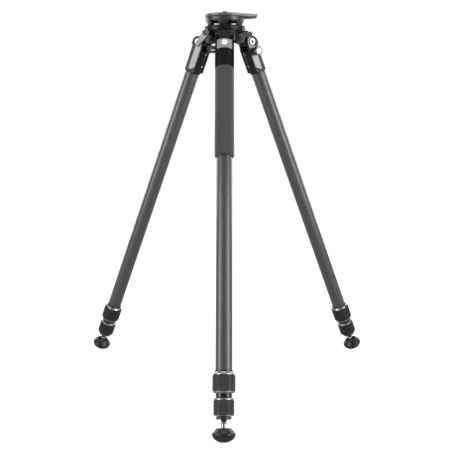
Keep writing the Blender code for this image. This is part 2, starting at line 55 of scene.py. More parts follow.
# The leg, with heights up the tube from the foot's centre
HINGE_TO_FOOT = 761.8
HINGE_RADIUS = 55.6
HINGE_HEIGHT = 716.66
SHOULDER_BOTTOM = 695.0
BARREL_RADIUS = 17.0
HALF_WIDTH = 19.0
PLATE_INNER = 15.2
FORK_INNER = 13.1
FORK_FLOOR = -15.8
EYE_RADIUS = 12.5
PLATE_LOW = -64.8
PLATE_SIDES = (-9.0, 14.0)
PANEL_SIDES = (-2.0, 12.4)
TUBE_TOP = 728.0
TAB_TRAVEL = 8.0
TAB_OUTER = 18.9
TAB_INNER = 17.3
TAB_HALF_ANGLE = 54.5
TAB_BOTTOM = -29.9
TAB_TOP = -10.2
PAWL_ROOT = -19.6
SCREW_HEIGHTS = (741.0, 714.0)
TUBE_RADII = (15.0, 13.0, 11.0)
TOW_WIDTH = 2.5
PIN_BORE = 4.3
DISC_HEIGHT = -18.6
KNOB_PLACE = (0, 3.0, -20.6)

# The centre, with heights above the floor
BALL_CENTRE = 766.0
BALL_RADIUS = 40.0
BALL_WALL = 4.0
BALL_TOP = 763.1
BALL_FLOOR = 733.0
SEAT_TOP = 745.6
SEAT_BOTTOM = 740.3
SEAT_OUTER = 38.0
FLANGE_RADIUS = 42.4
FLANGE_TOP = 746.0
FLANGE_BOTTOM = 736.2
BARREL_BOTTOM = 716.0
CROWN_BARREL = 33.0
CLAMP_SPHERE = 50.0
LUG_HALF_WIDTH = 12.7
PORT_OFFSET = -13.0
PORT_HEIGHT = 729.0
PORT_END = 56.2
LEVER_BASE = 49.2
LEVER_PORT = 240.0
LEVER_TURN = -43.5
LEVER_BORE = 3.3
PORT_ANGLES = (0.0, 120.0, 240.0)
LEG_ANGLES = (-90.0, 150.0, 30.0)
WINDOW_TURN = -125.2
PLATE_RADIUS = 40.8
PLATE_BOTTOM = 763.5
PLATE_TOP = 770.0
NOSE_REACH = 66.8
SCREW_RADIUS = 4.7
SCREW_TOP = 777.4
LEVEL_X = 50.0
ROD_RADIUS = 4.0
GAP = 0.3


# ---------------------------------------------------------------- materials

class Look:
    """A procedural material: a Principled shader, and the nodes that feed it."""

    def __init__(self, name, colour, roughness, metallic=0.0, **even):
        self.material = bpy.data.materials.new(name)
        self.material.use_nodes = True
        self.tree = self.material.node_tree
        self.shader = self.tree.nodes["Principled BSDF"]
        self.put(self.shader.inputs["Base Color"], (*colour, 1.0))
        self.put(self.shader.inputs["Roughness"], roughness)
        self.put(self.shader.inputs["Metallic"], metallic)
        for label, value in even.items():
            self.put(self.shader.inputs[label.replace("_", " ").title().replace("Ior", "IOR")], value)

    def put(self, socket, value):
        if isinstance(value, bpy.types.NodeSocket):
            self.tree.links.new(value, socket)
        else:
            socket.default_value = value

    def node(self, kind, inputs=None, **settings):
        made = self.tree.nodes.new("ShaderNode" + kind)
        for label, value in settings.items():
            setattr(made, label, value)
        for label, value in (inputs or {}).items():
            self.put(made.inputs[label], value)
        return made

    def math(self, operation, *terms):
        made = self.node("Math", operation=operation)
        for socket, term in zip(made.inputs, terms):
            self.put(socket, term)
        return made.outputs[0]

    def place(self, stretch=(1.0, 1.0, 1.0)):
        """The piece's own coordinates, in metres, which add() keeps in the attribute named own."""
        own = self.node("Attribute", attribute_name="own").outputs["Vector"]
        return self.node("Mapping", {"Vector": own, "Scale": stretch}).outputs["Vector"]

    def noise(self, size, detail=3.0, stretch=(1.0, 1.0, 1.0)):
        """Noise from 0 to 1 whose blotches are about size millimetres across."""
        inputs = {"Vector": self.place(stretch), "Scale": 1.0 / (size * MM), "Detail": detail}
        return self.node("TexNoise", inputs).outputs["Fac"]

    def spread(self, value, low, high, start=0.3, end=0.7):
        """Maps a value's start to end onto low to high."""
        inputs = {"Value": value, "From Min": start, "From Max": end, "To Min": low, "To Max": high}
        return self.node("MapRange", inputs).outputs["Result"]

    def mix(self, share, first, second):
        made = self.node("Mix", data_type="RGBA")
        self.put(made.inputs[0], share)
        self.put(made.inputs[6], (*first, 1.0) if isinstance(first, tuple) else first)
        self.put(made.inputs[7], (*second, 1.0) if isinstance(second, tuple) else second)
        return made.outputs[2]

    def colour(self, value):
        self.put(self.shader.inputs["Base Color"], value)

    def rough(self, value):
        self.put(self.shader.inputs["Roughness"], value)

    def bump(self, height, depth, strength=1.0):
        """Raises the surface by height times depth millimetres, in its shading."""
        inputs = {"Height": height, "Distance": depth * MM, "Strength": strength}
        self.put(self.shader.inputs["Normal"], self.node("Bump", inputs).outputs["Normal"])

    def edges(self, width):
        """1 along edges and 0 on open surfaces, fading over width millimetres."""
        soft = self.node("Bevel", {"Radius": width * MM}, samples=4).outputs["Normal"]
        plain = self.node("NewGeometry").outputs["Normal"]
        likeness = self.node("VectorMath", operation="DOT_PRODUCT")
        self.put(likeness.inputs[0], soft)
        self.put(likeness.inputs[1], plain)
        return self.spread(likeness.outputs["Value"], 1.0, 0.0, 0.8, 0.98)

    def round_the_axis(self):
        """(turns about the piece's Z axis from 0 to 1, height in metres, distance from the axis)."""
        parts = self.node("SeparateXYZ", {"Vector": self.place()})
        x, y, z = (parts.outputs[label] for label in "XYZ")
        turns = self.math("ADD", self.math("DIVIDE", self.math("ARCTAN2", y, x), 2 * math.pi), 0.5)
        reach = self.math("SQRT", self.math("ADD", self.math("MULTIPLY", x, x), self.math("MULTIPLY", y, y)))
        return turns, z, reach


def casting(name, colour, roughness, edge_highlight_colour, metallic=0.0):
    """Powder-coated die casting: slight orange peel, uneven gloss, and a painted highlight along the edges.
    """
    look = Look(name, colour, roughness, metallic, specular_ior_level=0.2)
    blotches = look.noise(9.0)
    deeper = tuple(c * 1.6 for c in colour)
    # Painted highlight: the edges are painted lighter, in patches, as if they caught the light; the paint is
    # no thinner there.
    edge_highlight_streaks_and_looks = look.math("MULTIPLY", look.edges(0.7), look.spread(look.noise(4.0), 0.35, 0.9))
    look.colour(look.mix(edge_highlight_streaks_and_looks, look.mix(blotches, colour, deeper), edge_highlight_colour))
    look.rough(look.spread(blotches, roughness - 0.06, roughness + 0.09))
    look.bump(look.noise(0.9, 2.0), 0.03)
    return look


def blasted(name, colour, roughness, metallic, grain=0.35):
    """Bead-blasted or anodised metal: a fine even grain, with edges painted brighter: partly the bare metal
    of machined edges, partly a painted highlight.
    """
    look = Look(name, colour, roughness, metallic)
    cloud = look.noise(14.0)
    lighter = tuple(min(1.0, c * 1.35) for c in colour)
    bare_edge_highlight = tuple(min(1.0, c * 2.6 + 0.05) for c in colour)
    # Painted highlight along the edges, which also stands for bare machined metal there.
    look.colour(look.mix(look.edges(0.5), look.mix(cloud, colour, lighter), bare_edge_highlight))
    look.rough(look.spread(cloud, roughness - 0.05, roughness + 0.06))
    look.bump(look.noise(grain, 1.0), 0.02)
    return look


def turned_metal(name, colour, roughness, pitch=0.35, depth=0.012, metallic=1.0):
    """Metal off the lathe: fine rings about the piece's own axis."""
    look = Look(name, colour, roughness, metallic)
    _, height, reach = look.round_the_axis()
    along = look.math("ADD", height, reach)
    rings = look.math("SINE", look.math("MULTIPLY", along, 2 * math.pi / (pitch * MM)))
    smudge = look.noise(7.0)
    darker = tuple(c * 0.82 for c in colour)
    look.colour(look.mix(smudge, darker, colour))
    look.rough(look.spread(smudge, roughness - 0.03, roughness + 0.07))
    look.bump(rings, depth)
    return look


def lug_metal(name, colour, roughness, paint, start):
    """The crown's lugs: black paint, then bare milled metal from start millimetres off the axis."""
    look = Look(name, colour, roughness, specular_ior_level=0.3)
    _, _, reach = look.round_the_axis()
    bare = look.spread(reach, 0.0, 1.0, (start - 0.5) * MM, (start + 0.5) * MM)
    streaks = look.noise(0.5, 2.0, (1.0, 1.0, 0.08))
    edge_highlight_streaks_and_looks = look.mix(streaks, tuple(c * 0.75 for c in colour), colour)
    look.colour(look.mix(bare, paint, edge_highlight_streaks_and_looks))
    look.put(look.shader.inputs["Metallic"], look.math("MULTIPLY", bare, 0.9))
    look.rough(look.spread(streaks, roughness - 0.04, roughness + 0.08))
    look.bump(streaks, 0.012)
    return look


def brushed(name, colour, roughness, stretch, metallic=1.0):
    """Metal brushed in one direction, which is the one with the small stretch."""
    look = Look(name, colour, roughness, metallic)
    streaks = look.noise(0.5, 2.0, stretch)
    darker = tuple(c * 0.78 for c in colour)
    look.colour(look.mix(look.spread(streaks, 0.0, 1.0, 0.35, 0.65), darker, colour))
    look.rough(look.spread(streaks, roughness - 0.05, roughness + 0.1))
    look.bump(streaks, 0.015)
    return look


def carbon(name, radius):
    """Clear-coated carbon cloth round a tube: a plain weave, each tow over one and under one."""
    look = Look(name, (0.03, 0.03, 0.032), 0.4, coat_weight=0.6, coat_roughness=0.33)
    turns, height, _ = look.round_the_axis()
    count = 4 * round(2 * math.pi * radius / TOW_WIDTH / 4)
    across = look.math("MULTIPLY", turns, count)
    up = look.math("DIVIDE", height, TOW_WIDTH * MM)
    step = look.math("ADD", look.math("FLOOR", across), look.math("FLOOR", up))
    upright = look.math("LESS_THAN", look.math("MODULO", look.math("ADD", step, 4000.0), 2.0), 0.5)

    def crown_of(position):
        off = look.math("SUBTRACT", look.math("FRACT", position), 0.5)
        return look.math("SUBTRACT", 1.0, look.math("MULTIPLY", look.math("MULTIPLY", off, off), 4.0))

    side = look.math("SUBTRACT", 1.0, upright)
    raised = look.math("ADD", look.math("MULTIPLY", crown_of(across), upright),
                       look.math("MULTIPLY", crown_of(up), side))
    threads = look.noise(0.5, 2.0, (1.0, 1.0, 0.15))
    shade = look.math("MULTIPLY", upright, look.spread(threads, 0.65, 1.0))
    look.colour(look.mix(shade, (0.008, 0.008, 0.009), (0.10, 0.10, 0.104)))
    look.rough(look.spread(upright, 0.48, 0.34, 0.0, 1.0))
    look.bump(look.math("ADD", raised, look.math("MULTIPLY", threads, 0.25)), 0.09)
    return look


def rubber(name, colour, roughness, grain=0.7, depth=0.05):
    """Moulded rubber: matt and finely pitted, with dust in its dull patches."""
    look = Look(name, colour, roughness, specular_ior_level=0.4)
    dusty = look.noise(11.0, 4.0)
    lighter = tuple(c * 1.9 + 0.004 for c in colour)
    look.colour(look.mix(look.spread(dusty, 0.0, 0.8), colour, lighter))
    look.rough(look.spread(dusty, roughness - 0.06, roughness + 0.12))
    look.bump(look.noise(grain, 2.0), depth)
    return look


def foam(name):
    """Closed-cell foam: small round cells, soft and dull, with a faint sheen."""
    look = Look(name, (0.06, 0.06, 0.062), 0.9, sheen_weight=0.25, sheen_roughness=0.5,
                specular_ior_level=0.25)
    inputs = {"Vector": look.place(), "Scale": 1.0 / (0.9 * MM)}
    cells = look.node("TexVoronoi", inputs).outputs["Distance"]
    cloud = look.noise(18.0, 4.0)
    pit_depth_and_shade = look.spread(cells, 0.0, 1.0, 0.1, 0.6)
    body = look.mix(cloud, (0.05, 0.05, 0.052), (0.075, 0.075, 0.077))
    # The pits are dented in the bump and also painted darker: painted shade in the cells.
    look.colour(look.mix(pit_depth_and_shade, (0.03, 0.03, 0.031), body))
    look.rough(look.spread(cloud, 0.84, 0.97))
    look.bump(look.math("ADD", pit_depth_and_shade, look.math("MULTIPLY", cloud, 2.0)), 0.12, 0.7)
    return look


def plastic(name, colour, roughness):
    look = Look(name, colour, roughness)
    cloud = look.noise(8.0)
    look.colour(look.mix(cloud, colour, tuple(c * 1.7 for c in colour)))
    look.rough(look.spread(cloud, roughness - 0.05, roughness + 0.08))
    look.bump(look.noise(0.45, 1.0), 0.02)
    return look


def level_fluid():
    look = Look("level_fluid", (0.35, 0.62, 0.10), 0.12)
    _, _, reach = look.round_the_axis()
    # Painted light: the fluid is painted lighter in its middle and shaded darker towards its rim.
    look.colour(look.mix(look.spread(reach, 0.0, 1.0, 0.0, 0.007), (0.50, 0.80, 0.16), (0.22, 0.48, 0.05)))
    look.rough(look.spread(look.noise(3.0), 0.08, 0.16))
    return look


def clear_dome():
    look = Look("clear_dome", (0.97, 0.99, 0.97), 0.03, transmission_weight=1.0, ior=1.45)
    look.rough(look.spread(look.noise(2.0), 0.01, 0.05))
    return look


def make_looks():
    """Each look by name, with the record's material slot that it belongs to."""
    upper, middle, lower = TUBE_RADII
    slots = {
        "black_casting": {
            # The casting's last colour is its painted edge highlight.
            "casting": casting("black_casting", (0.005, 0.005, 0.006), 0.31, (0.10, 0.10, 0.10)),
            "machined": lug_metal("lug_metal", (0.42, 0.42, 0.43), 0.38, (0.006, 0.006, 0.007), 50.5),
            "boss": turned_metal("boss_metal", (0.2, 0.2, 0.205), 0.4, 0.5),
            "panel": brushed("panel_face", (0.27, 0.27, 0.275), 0.48, (1.0, 1.0, 0.06), 0.7),
        },
        "dark_aluminium": {
            "ball": blasted("dark_anodised", (0.055, 0.056, 0.058), 0.4, 0.8),
            "plate": blasted("plate_anodised", (0.15, 0.151, 0.153), 0.38, 0.7),
        },
        "grey_casting": {"grey": blasted("grey_casting", (0.12, 0.12, 0.123), 0.42, 0.8)},
        "gunmetal": {
            "gunmetal": brushed("gunmetal", (0.36, 0.36, 0.365), 0.4, (1.0, 1.0, 0.08), 0.4),
            "badge": turned_metal("plain_disc", (0.95, 0.95, 0.95), 0.35, 0.5, metallic=0.0),
        },
        "chrome": {"chrome": turned_metal("chrome", (0.5, 0.5, 0.5), 0.16, 0.6, 0.003)},
        "silver": {
            "silver": turned_metal("silver", (0.36, 0.36, 0.36), 0.33),
            # A darker copy of the silver for the knob cap's rim: painted shade round the cap's bright face.
            "rim": turned_metal("knob_rim_painted_shade", (0.12, 0.12, 0.12), 0.35),
            "rod": turned_metal("rod_steel", (0.4, 0.4, 0.4), 0.3),
            "ring": plastic("black_ring", (0.006, 0.006, 0.006), 0.16),
        },
        "carbon": {
            "upper_carbon": carbon("carbon_upper", upper),
            "middle_carbon": carbon("carbon_middle", middle),
            "lower_carbon": carbon("carbon_lower", lower),
        },
        "foam": {"foam": foam("foam")},
        "grip_rubber": {"grip": rubber("grip_rubber", (0.008, 0.008, 0.009), 0.32)},
        "foot_rubber": {"foot": rubber("foot_rubber", (0.009, 0.009, 0.01), 0.34, 1.1, 0.05)},
        "black_plastic": {"plastic": plastic("black_plastic", (0.009, 0.009, 0.010), 0.36)},
        "nylon": {"nylon": plastic("nylon", (0.02, 0.02, 0.02), 0.5)},
        "level": {"fluid": level_fluid(), "dome": clear_dome()},
    }
    return {name: (look, slot) for slot, looks in slots.items() for name, look in looks.items()}


# ---------------------------------------------------------------- shapes

def up_leg(height):
    """A distance up the tube from the foot's centre, as a height in the leg's own frame."""
    return height - HINGE_TO_FOOT


def turning(degrees, axis):
    return Matrix.Rotation(math.radians(degrees), 4, axis)


def arc(radius, start, end, steps, centre=(0.0, 0.0)):
    """Points on a circle from one angle to another, in degrees, both ends included."""
    angles = [math.radians(start + (end - start) * step / steps) for step in range(steps + 1)]
    return [(centre[0] + radius * math.cos(a), centre[1] + radius * math.sin(a)) for a in angles]


def rounded(profile, size, steps=3):
    """Rounds the corners of an outline off the axis. One that starts off the axis is closed."""
    closed = profile[0][0] > 0
    points = [Vector(point) for point in profile]
    made = []
    for index, here in enumerate(points):
        if not closed and index in (0, len(points) - 1):
            made.append(tuple(here))
            continue
        before = points[index - 1] - here
        after = points[(index + 1) % len(points)] - here
        reach = min(size, before.length * 0.45, after.length * 0.45)
        start = here + before.normalized() * reach
        end = here + after.normalized() * reach
        for step in range(steps + 1):
            t = step / steps
            made.append(tuple(start * (1 - t) ** 2 + here * 2 * t * (1 - t) + end * t ** 2))
    return made


def divided(profile, length):
    """Adds points along an outline so that none of its edges is longer than length."""
    made = []
    for index, here in enumerate(profile):
        following = profile[(index + 1) % len(profile)]
        last = index == len(profile) - 1
        pieces = 1 if last and profile[0][0] == 0 else max(1, math.ceil(math.dist(here, following) / length))
        for step in range(pieces):
            made.append(tuple(a + (b - a) * step / pieces for a, b in zip(here, following)))
    return made


def finished(bm, name):
    bmesh.ops.remove_doubles(bm, verts=bm.verts, dist=0.0005)
    bmesh.ops.recalc_face_normals(bm, faces=bm.faces)
    bmesh.ops.scale(bm, vec=(MM, MM, MM), verts=bm.verts)
    mesh = bpy.data.meshes.new(name)
    bm.to_mesh(mesh)
    bm.free()
    return mesh


def turned(name, profile, steps=96, corner=0.35, ripple=None):
    """A solid of revolution about Z, with rounded corners.

    ripple(angle, radius, height) gives a new radius.
    """
    if corner:
        profile = rounded(profile, corner)
    bm = bmesh.new()
    points = [bm.verts.new((radius, 0.0, height)) for radius, height in profile]
    edges = [bm.edges.new(pair) for pair in zip(points, points[1:])]
    if profile[0][0] > 0:
        edges.append(bm.edges.new((points[-1], points[0])))
    bmesh.ops.spin(bm, geom=points + edges, cent=(0, 0, 0), axis=(0, 0, 1), angle=2 * math.pi, steps=steps)
    if ripple:
        for vertex in bm.verts:
            x, y, height = vertex.co
            radius = math.hypot(x, y)
            if radius > 0:
                scale = ripple(math.atan2(y, x), radius, height) / radius
                vertex.co.x, vertex.co.y = x * scale, y * scale
    return finished(bm, name)


def drill(name, radius, high, low, steps):
    """A plain round cutter about Z."""
    return turned(name, [(0, high), (radius, high), (radius, low), (0, low)], steps, 0)


def extruded(name, outline, low, high, along="Z"):
    """A flat outline pushed from low to high along X, Y or Z. Its points are the other two axes."""
    places = {
        "X": lambda a, b: (low, a, b),
        "Y": lambda a, b: (a, low, b),
        "Z": lambda a, b: (a, b, low),
    }
    pushes = {"X": (high - low, 0, 0), "Y": (0, high - low, 0), "Z": (0, 0, high - low)}
    bm = bmesh.new()
    face = bm.faces.new([bm.verts.new(places[along](a, b)) for a, b in outline])
    pushed = bmesh.ops.extrude_face_region(bm, geom=[face])["geom"]
    moving = [item for item in pushed if isinstance(item, bmesh.types.BMVert)]
    bmesh.ops.translate(bm, vec=pushes[along], verts=moving)
    return finished(bm, name)


def combined(name, base, added=(), removed=()):
    """Joins meshes to a base and cuts others from it. Each may come with its place, in millimetres."""
    def helper(mesh, place=None):
        tool = bpy.data.objects.new("tool_" + mesh.name, mesh)
        bpy.context.scene.collection.objects.link(tool)
        if place is not None:
            moved = place.copy()
            moved.translation *= MM
            tool.matrix_world = moved
        return tool

    body = helper(base)
    tools = [body]
    for operation, meshes in (("UNION", added), ("DIFFERENCE", removed)):
        for item in meshes:
            mesh, place = item if isinstance(item, tuple) else (item, None)
            tools.append(helper(mesh, place))
            step = body.modifiers.new(mesh.name, "BOOLEAN")
            step.operation = operation
            step.object = tools[-1]
    bpy.context.view_layer.update()
    graph = bpy.context.evaluated_depsgraph_get()
    result = bpy.data.meshes.new_from_object(body.evaluated_get(graph))
    result.name = name
    for tool in tools:
        bpy.data.objects.remove(tool)
    bm = bmesh.new()
    bm.from_mesh(result)
    bmesh.ops.remove_doubles(bm, verts=bm.verts, dist=0.00001)
    bmesh.ops.dissolve_limit(bm, angle_limit=math.radians(0.6), verts=bm.verts, edges=bm.edges)
    bm.to_mesh(result)
    bm.free()
    return result


# ---------------------------------------------------------------- pieces

LOOKS = make_looks()


def axes_frame(origin, x_axis, z_axis):
    z = Vector(z_axis).normalized()
    x = Vector(x_axis).normalized()
    turn = Matrix((x, z.cross(x), z)).transposed().to_4x4()
    return Matrix.Translation(Vector(origin)) @ turn


def leg_frame(leg):
    fold = JOINTS[f"{leg}_leg_fold"]
    return axes_frame(fold["pos_m"], fold["axis"], JOINTS[f"{leg}_upper_twist"]["axis"])


def centre_frame():
    middle = Vector(JOINTS["head_swivel"]["pos_m"])
    return Matrix.Translation(middle - Vector((0, 0, BALL_CENTRE * MM)))


def moved(place=(0, 0, 0), turn_x=0.0, turn_y=0.0, turn_z=0.0):
    """A place in millimetres, after turns in degrees about X, then Y, then Z."""
    made = Matrix.Translation(Vector(place) * MM)
    for angle, axis in ((turn_z, "Z"), (turn_y, "Y"), (turn_x, "X")):
        made = made @ turning(angle, axis)
    return made


def in_world(mesh, place):
    """A copy of a mesh set in the world. Its attribute named own keeps the coordinates it was made in."""
    made = mesh.copy()
    own = made.attributes.new("own", "FLOAT_VECTOR", "POINT")
    own.data.foreach_set("vector", [value for vertex in made.vertices for value in vertex.co])
    made.transform(place)
    if place.determinant() < 0:
        made.flip_normals()
    return made


def add(name, mesh, look, body, place, node=None, bevel=0.0):
    """One visible piece that rides on a body, and stands for a CAD node where one is named.

    Several looks may be given: the mesh's faces say which of them each one wears.
    """
    made = in_world(mesh, place)
    edge_highlight_streaks_and_looks = look if isinstance(look, tuple) else (look,)
    for label in edge_highlight_streaks_and_looks:
        made.materials.append(LOOKS[label][0].material)
    made.shade_smooth()
    made.set_sharp_from_angle(angle=SHARP_ANGLE)
    piece = bpy.data.objects.new(name, made)
    bpy.context.scene.collection.objects.link(piece)
    if bevel:
        edge = piece.modifiers.new("edges", "BEVEL")
        edge.width = bevel * MM
        edge.segments = 2
        edge.limit_method = "ANGLE"
        edge.angle_limit = SHARP_ANGLE
        edge.harden_normals = True
    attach(piece, body)
    if node:
        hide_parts(node)
    return piece


def leg_profile(points):
    return [(radius, up_leg(height)) for radius, height in points]


def ring_profile(outer, inner, low, high):
    return [(outer, high), (outer, low), (inner, low), (inner, high)]


def sleeve_on_leg(name, outer, inner, low, high, corner=0.3):
    """A tube or band round the leg, with its ends as distances up the tube."""
    return turned(name, leg_profile(ring_profile(outer, inner, low, high)), 96, corner)


# ---- the shoulder

def side_plate_outline():
    """The shoulder's side plate seen along the hinge: an eye round the hinge over a long plate."""
    nose = 2.5
    outer, inner = PLATE_SIDES
    return [
        (outer + nose, PLATE_LOW), (outer, PLATE_LOW + nose), (outer, -14.0),
        *arc(EYE_RADIUS, 215, -20, 28),
        (inner, -12.0), (inner, PLATE_LOW + nose), (inner - nose, PLATE_LOW),
    ]


def side_panel_outline(inset):
    """The shallow panel in the side plate: it runs from the eye's inner half to a slanting foot."""
    outer, inner = PANEL_SIDES
    outer, inner = outer + inset, inner - inset
    return [
        (3.0, PLATE_LOW + 4.8 + inset), (outer, PLATE_LOW + 6.8 + inset),
        *arc(EYE_RADIUS - 1.4 - inset, 100, -20, 20),
        (inner, -12.0), (inner, PLATE_LOW + 13.3 + inset),
    ]


def tab_band(outer, inner, half_angle):
    middle = -90
    outside = arc(outer, middle - half_angle, middle + half_angle, 32)
    inside = arc(inner, middle + half_angle, middle - half_angle, 32)
    return outside + inside


SIDEWAYS = turning(90, "Y")
OTHER_WAY = turning(-90, "Y")


def shoulder_mesh():
    """The casting that holds the tube, forks round the crown's lug and carries the angle-lock tab."""
    bottom = up_leg(SHOULDER_BOTTOM)
    barrel_profile = [
        (0, FORK_FLOOR), (BARREL_RADIUS, FORK_FLOOR),
        (BARREL_RADIUS, bottom + 0.8), (BARREL_RADIUS - 0.8, bottom), (0, bottom),
    ]
    barrel = turned("barrel", barrel_profile, 72, 0)
    plate = side_plate_outline()
    eye_pad = [*arc(EYE_RADIUS - 0.5, 215, -20, 28), (10.0, -19.0), (-9.0, -19.0)]
    added = [
        extruded("plate_a", plate, PLATE_INNER - 0.6, HALF_WIDTH, "X"),
        extruded("plate_b", plate, -HALF_WIDTH, -PLATE_INNER + 0.6, "X"),
        extruded("pad_a", eye_pad, FORK_INNER, PLATE_INNER, "X"),
        extruded("pad_b", eye_pad, -PLATE_INNER, -FORK_INNER, "X"),
    ]
    panel = side_panel_outline(0.0)
    beyond = HALF_WIDTH + 5
    recess = (8.3, beyond, HALF_WIDTH - 1.9, 48)
    pocket = [(-11.8, -19.0), (11.8, -19.0), (11.8, -11.3), (-11.8, -11.3)]
    removed = [
        extruded("panel_a", panel, HALF_WIDTH - 0.8, beyond, "X"),
        extruded("panel_b", panel, -beyond, 0.8 - HALF_WIDTH, "X"),
        drill("bore", TUBE_RADII[0] + GAP, up_leg(TUBE_TOP) + 0.4, bottom - 9, 72),
        (drill("pin_hole", PIN_BORE, beyond, -beyond, 32), SIDEWAYS),
        (drill("recess", *recess), SIDEWAYS),
        (drill("recess_b", *recess), OTHER_WAY),
        extruded("pawl_pocket", pocket, PAWL_ROOT - TAB_TRAVEL - 1, FORK_FLOOR + 1),
    ]
    for height in SCREW_HEIGHTS:
        inward = Matrix.Translation((0, BARREL_RADIUS, up_leg(height))) @ turning(-90, "X")
        removed.append((drill("screw_hole", 1.9, 3, -1.35, 20), inward))
    return combined("shoulder", barrel, added, removed)


def side_panel_mesh():
    """The light inlay in a side plate, with room round the hinge bolt."""
    outline = side_panel_outline(0.25)
    sheet = extruded("inlay", outline, HALF_WIDTH - 0.8, HALF_WIDTH - 0.35, "X")
    return combined("side_panel", sheet, removed=[(drill("inlay_hole", 8.9, 30, 0, 64), SIDEWAYS)])


def pawl_mesh():
    """The pawl above the tab's plate, and its root behind the plate."""
    half_width = 11.2
    side = half_width - 0.2
    root_outline = [*arc(TAB_INNER - 0.1, -128, -52, 20), (side, -12.3), (-side, -12.3)]
    root = extruded("pawl_root", root_outline, PAWL_ROOT, TAB_TOP + 0.9)
    low = TAB_TOP + GAP
    outline = [(-17.9, low), (-12.1, low), (-12.1, 1.0), (-16.2, 1.0), (-17.4, -0.4), (-17.9, -2.0)]
    return combined("pawl", extruded("pawl_top", outline, -half_width, half_width, "X"), added=[root])


def grip_ripple(ribs, depth, low, rows, pitch):
    """Upright ribs cut across by a few grooves, for a twist lock's rubber."""
    def ripple(angle, radius, height):
        across = abs((angle / (2 * math.pi) * ribs) % 1.0 - 0.5) * 2
        trough = max(0.0, across - 0.55) / 0.45
        place = (height - low) / pitch
        groove = 0.0
        if 0.5 < place < rows - 0.5:
            groove = max(0.0, 1 - abs(place - round(place)) * pitch / 0.55)
        return radius - depth * max(trough, groove * 0.9)
    return ripple


def grip_mesh(name, outer, inner, low, high):
    """The ribbed rubber of a twist lock."""
    ribs = 56
    rows = 6
    bottom, top = up_leg(low), up_leg(high)
    profile = divided(rounded(ring_profile(outer, inner, bottom, top), 0.8), 0.5)
    ripple = grip_ripple(ribs, 0.45, bottom, rows, (top - bottom) / rows)

    def only_outside(angle, radius, height):
        return ripple(angle, radius, height) if radius > outer - 0.3 else radius

    return turned(name, profile, ribs * 4, 0, only_outside)


def leg_meshes():
    """Every piece that the three legs share."""
    upper, middle, lower = TUBE_RADII
    eye = HALF_WIDTH + 0.5
    head = eye - 2.0
    bolt_half = [
        (0, eye - 1.7), (3.0, eye - 1.7), (3.4, eye - 0.2), (4.2, eye), (6.3, eye), (7.0, eye - 0.7),
        (7.0, head), (4.0, head), (4.0, 0), (0, 0),
    ]
    # A black hexagon set in the bolt head's recess: painted shade in the hex socket.
    socket = [(0, eye - 0.9), (2.9, eye - 0.9), (2.9, eye - 1.9), (0, eye - 1.9)]
    collar = [
        (15.2, 105.6), (15.9, 105.6), (18.2, 102.4), (18.2, 100.3), (16.5, 100.3), (16.5, 73.2),
        (15.2, 73.2),
    ]
    lock_ring = [(19.4, 72.4), (19.2, 71.2), (17.0, 68.5), (13.5, 68.2), (13.5, 72.4)]
    lower_collar = [
        (13.2, 61.9), (14.2, 61.9), (17.2, 59.6), (17.2, 57.1), (14.5, 57.1), (14.5, 44.2),
        (13.2, 44.2),
    ]
    lower_ring = [(17.6, 32.0), (17.4, 31.0), (15.4, 29.4), (11.5, 29.4), (11.5, 32.0)]
    end_cap = [
        (11.3, 28.9), (13.35, 28.9), (13.35, 25.2), (12.6, 24.2), (4.5, 24.2), (4.5, 25.4),
        (11.3, 25.4),
    ]
    cone = [(4.2, 24.0), (4.2, 20.4), (4.5, 20.2), (5.8, 24.0)]
    stud = [
        (0, 26.5), (4.1, 26.5), (4.1, 19.9), (5.5, 19.7), (5.1, 18.2), (4.3, 16.4), (4.3, 15.0),
        (4.7, 14.4), (4.7, 12.6), (4.3, 12.0), (4.3, 1.2), (0, 1.2),
    ]
    tread = [math.radians(angle) for angle in range(4, 70, 6)]
    foot = [
        (0, 0.8), (4.7, 0.8), (4.7, 9.9), (12.3, 9.9), (13.3, 9.2), (20.2, 1.4), (20.6, 0.2),
        *[(20.55 * math.cos(a), -0.4 - 13.6 * math.sin(a)) for a in tread], (6.0, -13.9), (0, -14.0),
    ]
    screw = [
        (0, 0.9), (1.45, 0.9), (1.45, 2.0), (2.2, 1.8), (2.8, 1.0), (2.8, 0.3), (1.5, 0.3),
        (1.5, -1.0), (0, -1.0),
    ]
    disc = [(0, 0.45), (5.0, 0.45), (6.0, 0.15), (6.0, -0.6), (0, -0.6)]
    plate = tab_band(TAB_OUTER, TAB_INNER, TAB_HALF_ANGLE)
    return {
        "shoulder": shoulder_mesh(),
        "panel": side_panel_mesh(),
        "bolt": turned("bolt", bolt_half, 64),
        "socket": turned("socket", socket, 6, 0.1),
        "tab": extruded("tab", plate, TAB_BOTTOM, TAB_TOP),
        "pawl": pawl_mesh(),
        "badge": turned("badge", disc, 64, 0.2),
        "screw": turned("screw", screw, 40, 0.2),
        "upper_tube": sleeve_on_leg("upper_tube", upper, 13.6, 74.8, TUBE_TOP),
        "band": sleeve_on_leg("band", 15.75, 15.1, 105.9, 108.4),
        "collar": turned("collar", leg_profile(collar)),
        "upper_grip": grip_mesh("upper_grip", 20.45, 16.9, 72.6, 99.9),
        "lock_ring": turned("lock_ring", leg_profile(lock_ring)),
        "middle_tube": sleeve_on_leg("middle_tube", middle, 11.6, 45.6, 690.0),
        "neck": sleeve_on_leg("neck", 14.4, 13.15, 62.2, 67.6, 0.4),
        "lower_collar": turned("lower_collar", leg_profile(lower_collar)),
        "lower_grip": grip_mesh("lower_grip", 18.35, 14.9, 32.2, 56.7),
        "lower_ring": turned("lower_ring", leg_profile(lower_ring)),
        "lower_tube": sleeve_on_leg("lower_tube", lower, 9.6, 25.8, 655.0),
        "end_cap": turned("end_cap", leg_profile(end_cap)),
        "cone": turned("cone", leg_profile(cone), 64, 0.2),
        "stud": turned("stud", leg_profile(stud), 64),
        "foot": turned("foot", leg_profile(foot), 96, 0.5),
    }


